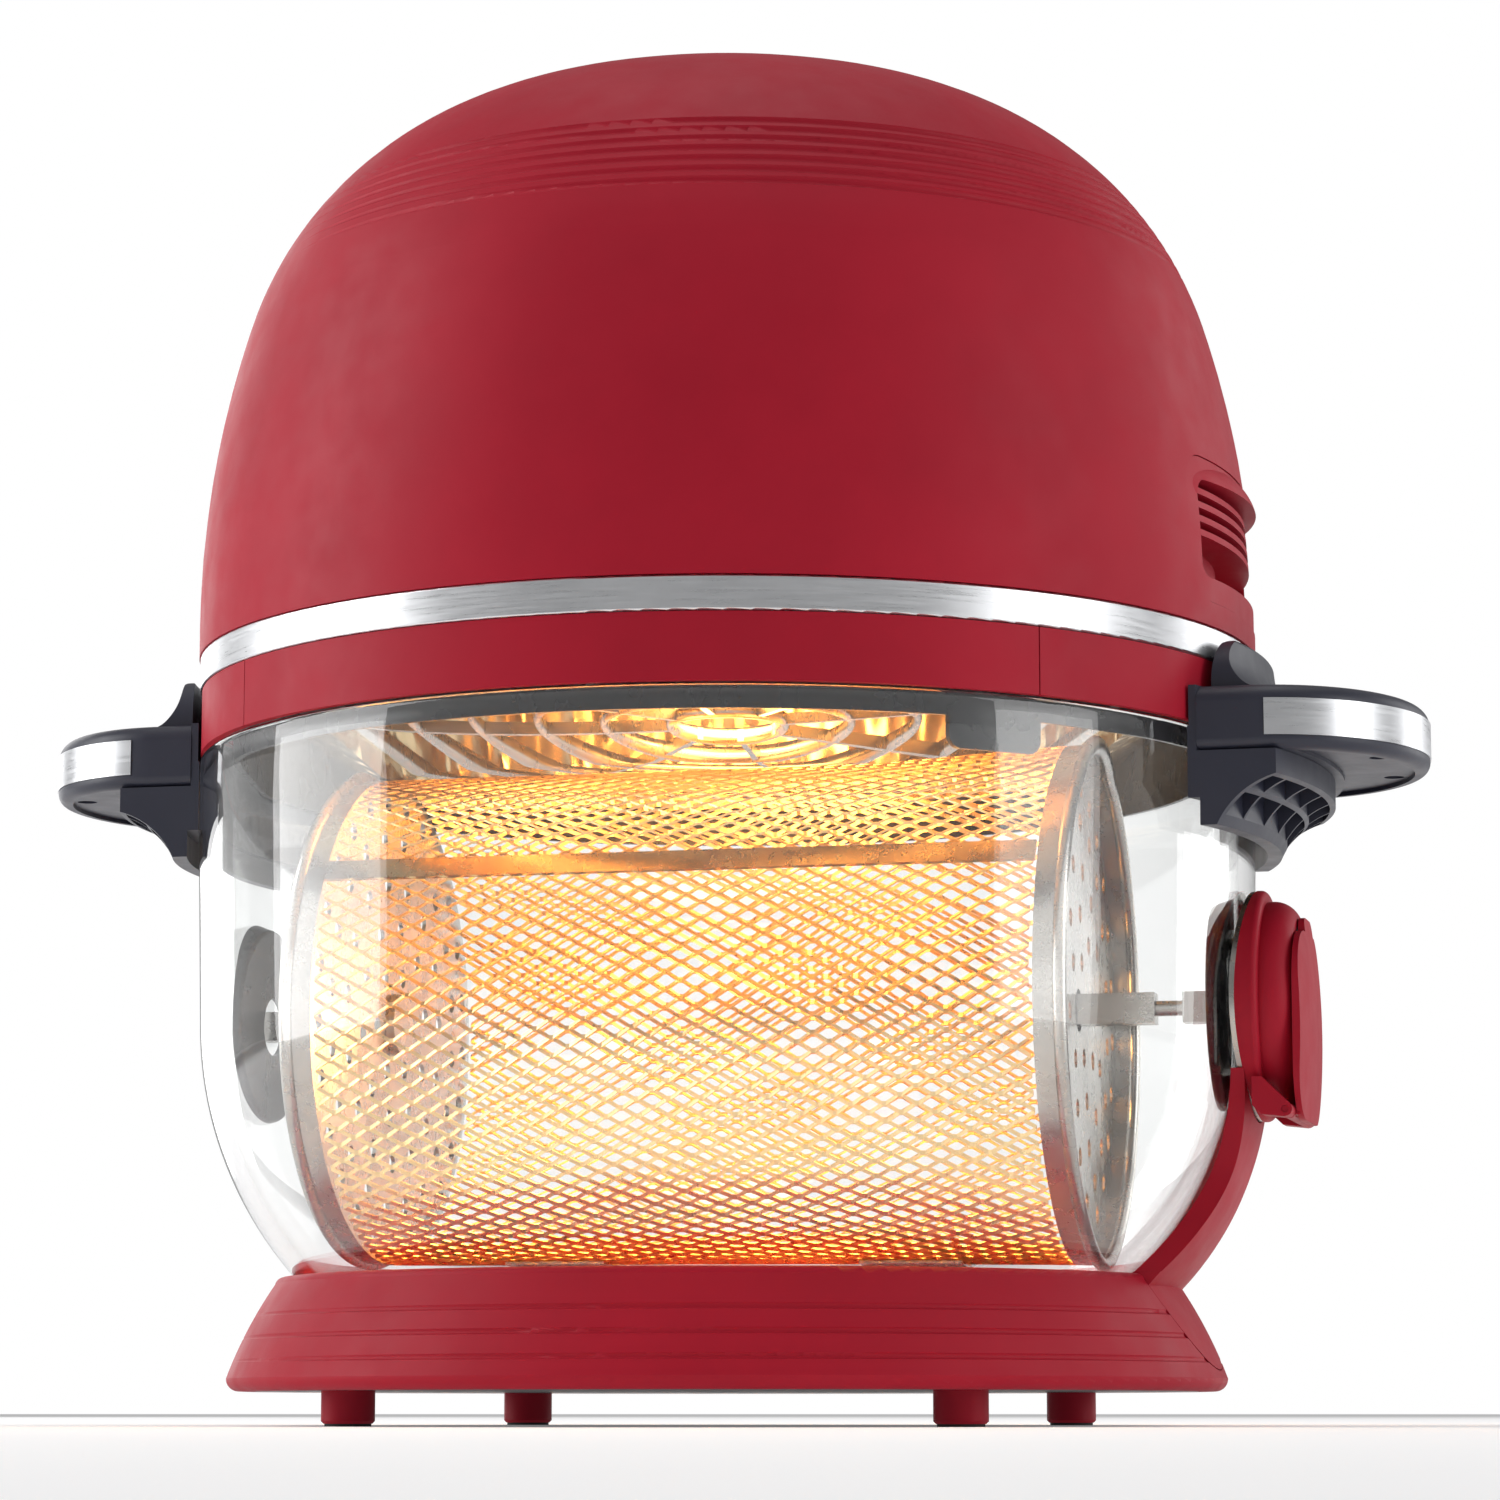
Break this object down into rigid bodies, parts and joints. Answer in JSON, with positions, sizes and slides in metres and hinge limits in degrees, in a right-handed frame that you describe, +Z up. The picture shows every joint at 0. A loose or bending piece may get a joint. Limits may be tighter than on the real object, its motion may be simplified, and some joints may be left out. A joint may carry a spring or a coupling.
{
  "type": "rotisserie oven",
  "caption": "Tabletop rotisserie oven: glass bowl on a round base with a drive arm, turning mesh drum, domed heater head and side handles.",
  "frame": {"origin": "on the table at the bowl's centre line", "axes": "+Z up, -Y towards the front, +X towards the drive arm and along the drum axis"},
  "size_m": [0.3382, 0.2552, 0.3272],
  "materials": {
    "red_plastic": "soft matte with a fine grain",
    "navy_plastic": "satin",
    "silver_trim": "satin",
    "bowl_glass": "clear, polished",
    "puck_plastic": "satin",
    "mesh_steel": "bright expanded mesh",
    "bright_steel": "polished",
    "reflector_metal": "mirror, warm toned",
    "heater_tube": "dull oxide",
    "black_plastic": "gloss",
    "board_green": "solder mask",
    "magnet_nickel": "plated",
    "foot_rubber": "matte",
    "cable_grey": "matte"
  },
  "bodies": {
    "base": {"base_shell": "red_plastic", "base_bottom_plate": "black_plastic", "base_plate_screws": "bright_steel", "feet": "red_plastic", "foot_pads": "foot_rubber", "bowl_seat_ring": "foot_rubber", "dc_inlet": "black_plastic", "drive_arm_cover": "red_plastic", "drive_arm_liner": "red_plastic", "motor_cable": "cable_grey", "motor_housing": "red_plastic", "housing_trim_ring": "bright_steel", "gear_motor": "bright_steel", "motor_cover": "black_plastic", "flap_hinge_pin": "red_plastic"},
    "flap": {"motor_flap": "red_plastic"},
    "drive_rotor": {"magnet_rotor": "black_plastic", "rotor_magnets": "magnet_nickel"},
    "bowl": {"glass_bowl": "bowl_glass", "handle_right_grip": "navy_plastic", "handle_left_grip": "navy_plastic", "handle_right_bracket": "navy_plastic", "handle_left_bracket": "navy_plastic", "handle_right_inlay": "silver_trim", "handle_left_inlay": "silver_trim", "handle_screws": "bright_steel", "drive_puck_housing": "puck_plastic", "bearing_puck_housing": "puck_plastic"},
    "basket": {"basket_mesh_body": "mesh_steel", "basket_door": "mesh_steel", "basket_seam_strip": "bright_steel", "basket_end_right": "bright_steel", "basket_end_left": "bright_steel", "spindle_right": "bright_steel", "spindle_left": "bright_steel", "driven_rotor": "puck_plastic", "driven_magnets": "magnet_nickel", "hinge_body_leaves": "bright_steel", "hinge_door_leaves": "bright_steel", "hinge_pins": "bright_steel"},
    "head": {"dome_shell": "red_plastic", "side_vent_right": "red_plastic", "side_vent_left": "red_plastic", "trim_band": "silver_trim", "skirt_front": "red_plastic", "skirt_rear": "red_plastic", "inner_collar": "black_plastic", "heat_reflector": "reflector_metal", "heater_coil": "heater_tube", "heater_brackets": "bright_steel", "fan_guard": "bright_steel", "fan_motor": "bright_steel", "motor_bracket": "bright_steel", "control_panel": "black_plastic", "control_board": "board_green", "cord_gland": "black_plastic", "head_screws": "bright_steel"},
    "fan_rotor": {"fan_shaft": "bright_steel", "convection_fan": "bright_steel", "cooling_fan": "bright_steel"}
  },
  "joints": [
    {"name": "flap_hinge", "type": "hinge", "parent": "base", "child": "flap", "pos_m": [0.1365, 0, 0.0715], "axis": [0, 1, 0], "range_deg": [0, 70]},
    {"name": "drive_rotor_spin", "type": "hinge", "parent": "base", "child": "drive_rotor", "pos_m": [0.1285, 0, 0.097], "axis": [1, 0, 0], "continuous": true},
    {"name": "bowl_lift", "type": "slide", "parent": "base", "child": "bowl", "axis": [0, 0, 1], "range_m": [0, 0.2]},
    {"name": "basket_spin", "type": "hinge", "parent": "bowl", "child": "basket", "pos_m": [0, 0, 0.097], "axis": [1, 0, 0], "continuous": true},
    {"name": "head_lift", "type": "slide", "parent": "bowl", "child": "head", "axis": [0, 0, 1], "range_m": [0, 0.18]},
    {"name": "fan_spin", "type": "hinge", "parent": "head", "child": "fan_rotor", "pos_m": [0, 0, 0.22], "axis": [0, 0, 1], "continuous": true}
  ]
}
